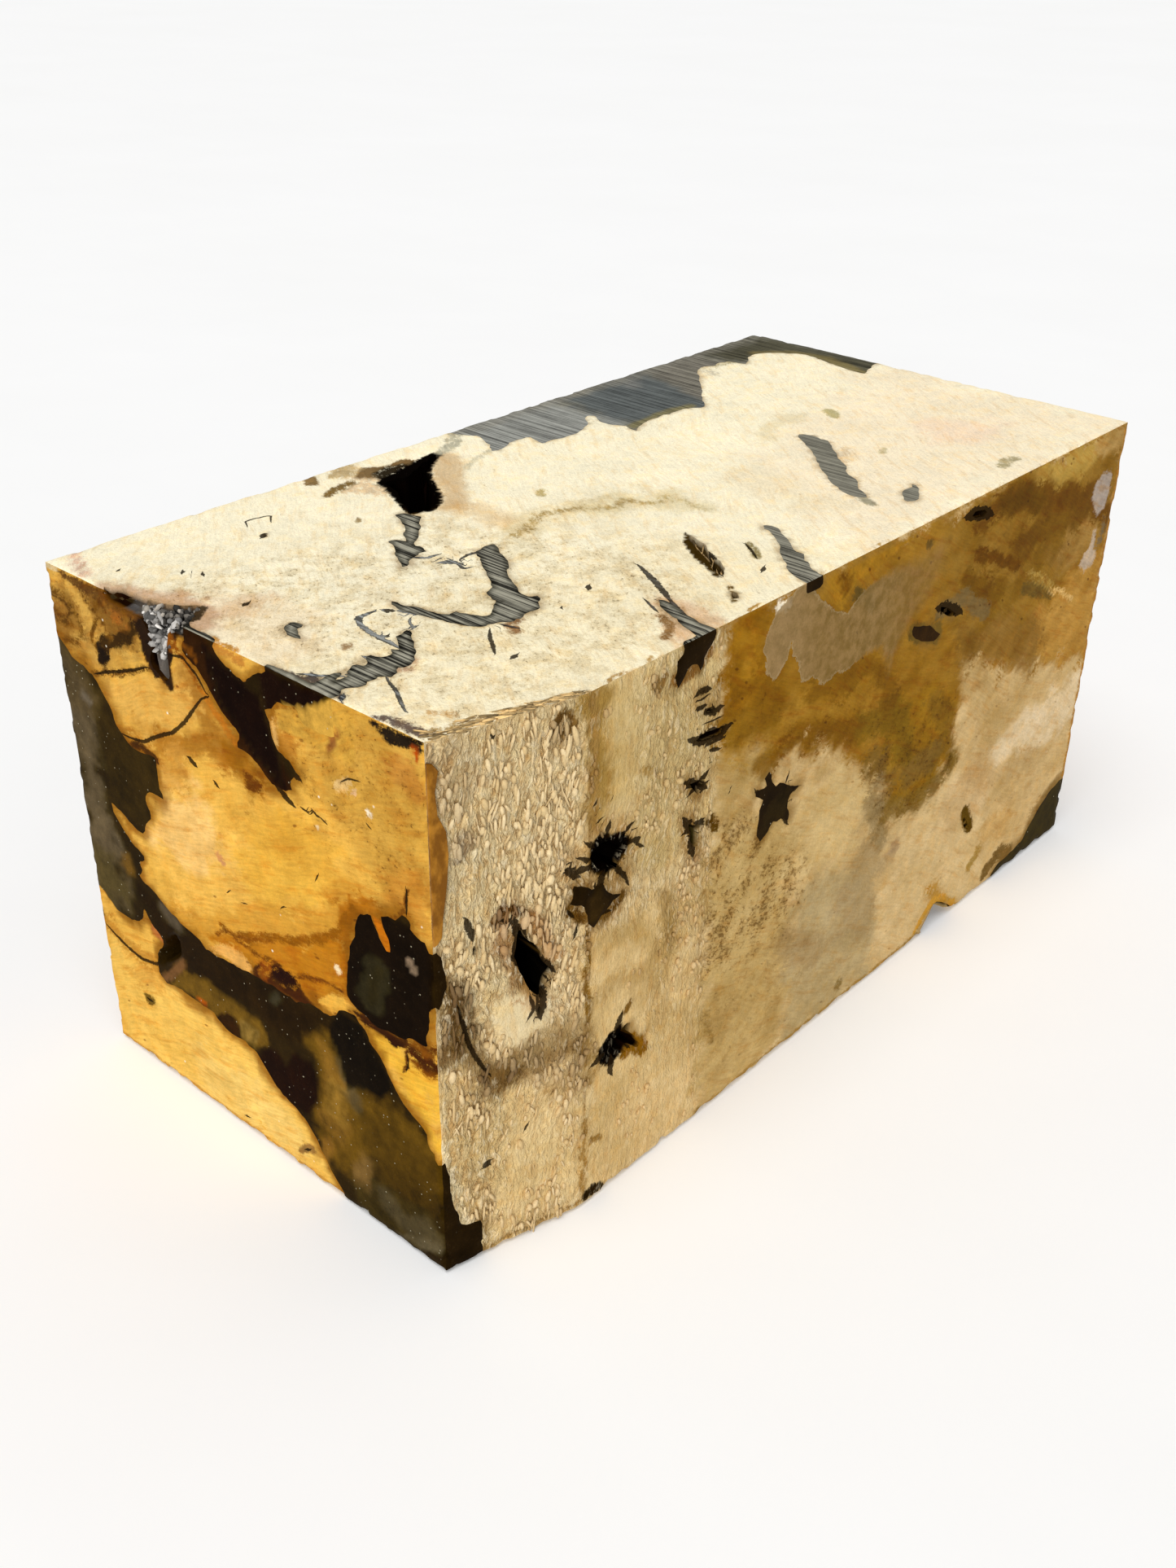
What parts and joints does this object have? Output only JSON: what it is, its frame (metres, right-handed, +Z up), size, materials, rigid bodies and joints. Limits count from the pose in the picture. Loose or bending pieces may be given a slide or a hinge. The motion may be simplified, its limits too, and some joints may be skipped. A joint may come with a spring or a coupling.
{
  "type": "turning blank",
  "caption": "Rectangular burl wood turning blank whose gaps are filled with cast black resin, rough-sawn on top and waxed over its end and part of its side.",
  "frame": {"origin": "middle of the bounding box's base, on the surface that the block stands on", "axes": "+X along the length towards the far end, -Y the long side with the slanting facet, +Z up through the rough-sawn top"},
  "size_m": [0.1524, 0.0756, 0.0772],
  "materials": {
    "burl": "pale dry wood, rough-sawn on top, torn along the facet, honey-coloured under wax on the near end and the front",
    "black_resin": "glossy black to olive-brown cast resin with cloudy zones and white specks",
    "sawn_resin": "slate-grey resin with fine saw lines across it",
    "wax": "thick amber wax"
  },
  "bodies": {
    "root": {"burl_wood": "burl", "resin_pour": "black_resin", "resin_pocket": "black_resin", "resin_near_vein": "black_resin", "resin_star": "black_resin", "resin_broken_star": "black_resin", "resin_far_lens": "black_resin", "resin_main_vein": "sawn_resin", "resin_upper_vein": "sawn_resin", "resin_triangle": "sawn_resin", "resin_lens": "sawn_resin", "resin_drop": "sawn_resin", "resin_wedge": "sawn_resin", "resin_fork": "sawn_resin", "wax_bead": "wax"}
  },
  "joints": []
}
